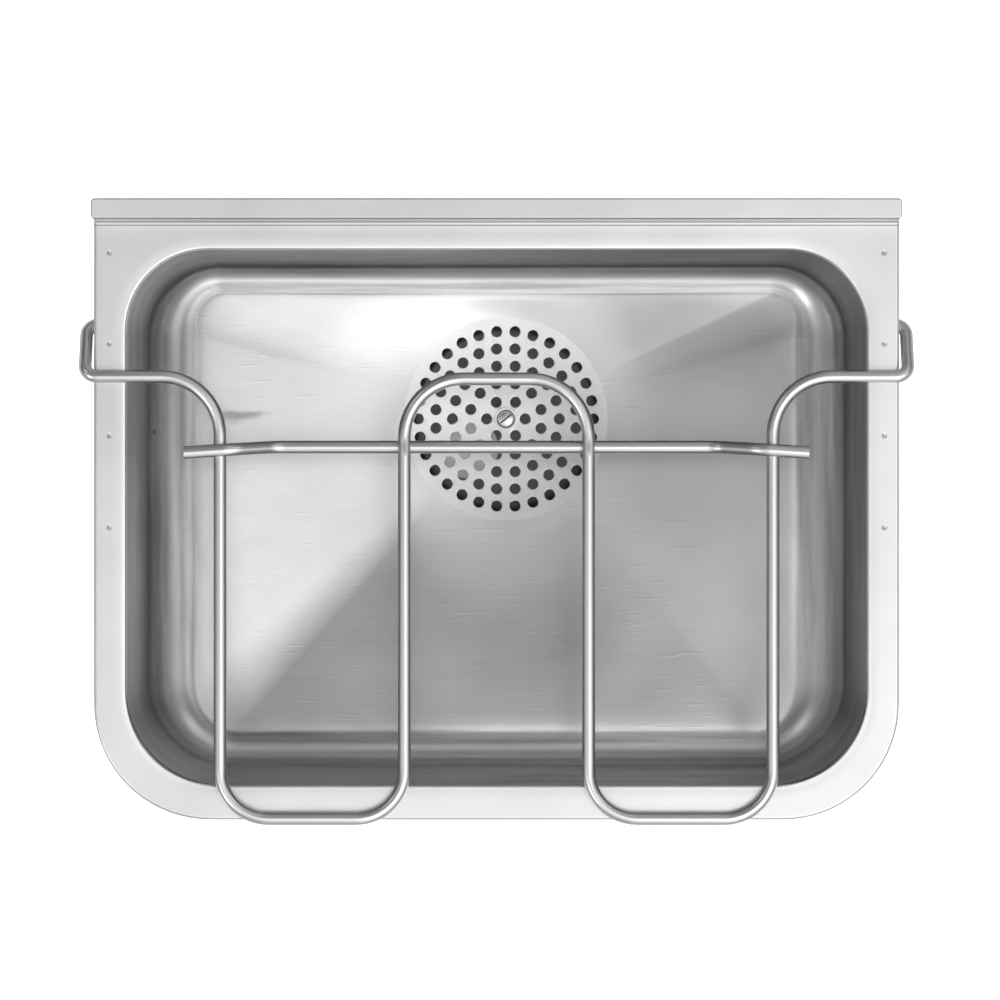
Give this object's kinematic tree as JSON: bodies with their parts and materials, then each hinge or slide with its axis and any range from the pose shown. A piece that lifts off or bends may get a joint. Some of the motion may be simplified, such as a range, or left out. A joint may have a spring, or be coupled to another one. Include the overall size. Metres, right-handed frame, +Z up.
{
  "type": "mop service sink",
  "caption": "Wall-hung stainless bucket sink with a deep drawn bowl, upstand, perforated floor strainer, waste cup and a hinged rod grid that swings up.",
  "frame": {"origin": "on the wall plane, in the middle of the sink's width, level with the top of the rim", "axes": "+X along the wall to the right as seen from the front, +Y into the wall, +Z up"},
  "size_m": [0.5186, 0.3875, 0.2857],
  "materials": {
    "sheet_steel": "brushed stainless sheet with fine short scratches",
    "rod_steel": "bright drawn stainless rod",
    "plain_steel": "plain mill-finish stainless",
    "black_rubber": "matt",
    "black_plastic": "moulded, slightly satin"
  },
  "bodies": {
    "sink": {"bowl": "sheet_steel", "deck": "sheet_steel", "strainer_disc": "sheet_steel", "bracket_left": "plain_steel", "bracket_right": "plain_steel", "drain_screw": "rod_steel", "drain_gasket": "black_rubber", "drain_cup": "plain_steel", "drain_post": "plain_steel", "outlet_pipe": "plain_steel", "outlet_seal": "black_rubber", "outlet_nut": "black_plastic"},
    "grid": {"grid_rod": "rod_steel", "grid_cross_rod": "rod_steel"}
  },
  "joints": [
    {"name": "grid_hinge", "type": "hinge", "parent": "sink", "child": "grid", "pos_m": [0, -0.0765, -0.015], "axis": [-1, 0, 0], "range_deg": [0, 100]}
  ]
}
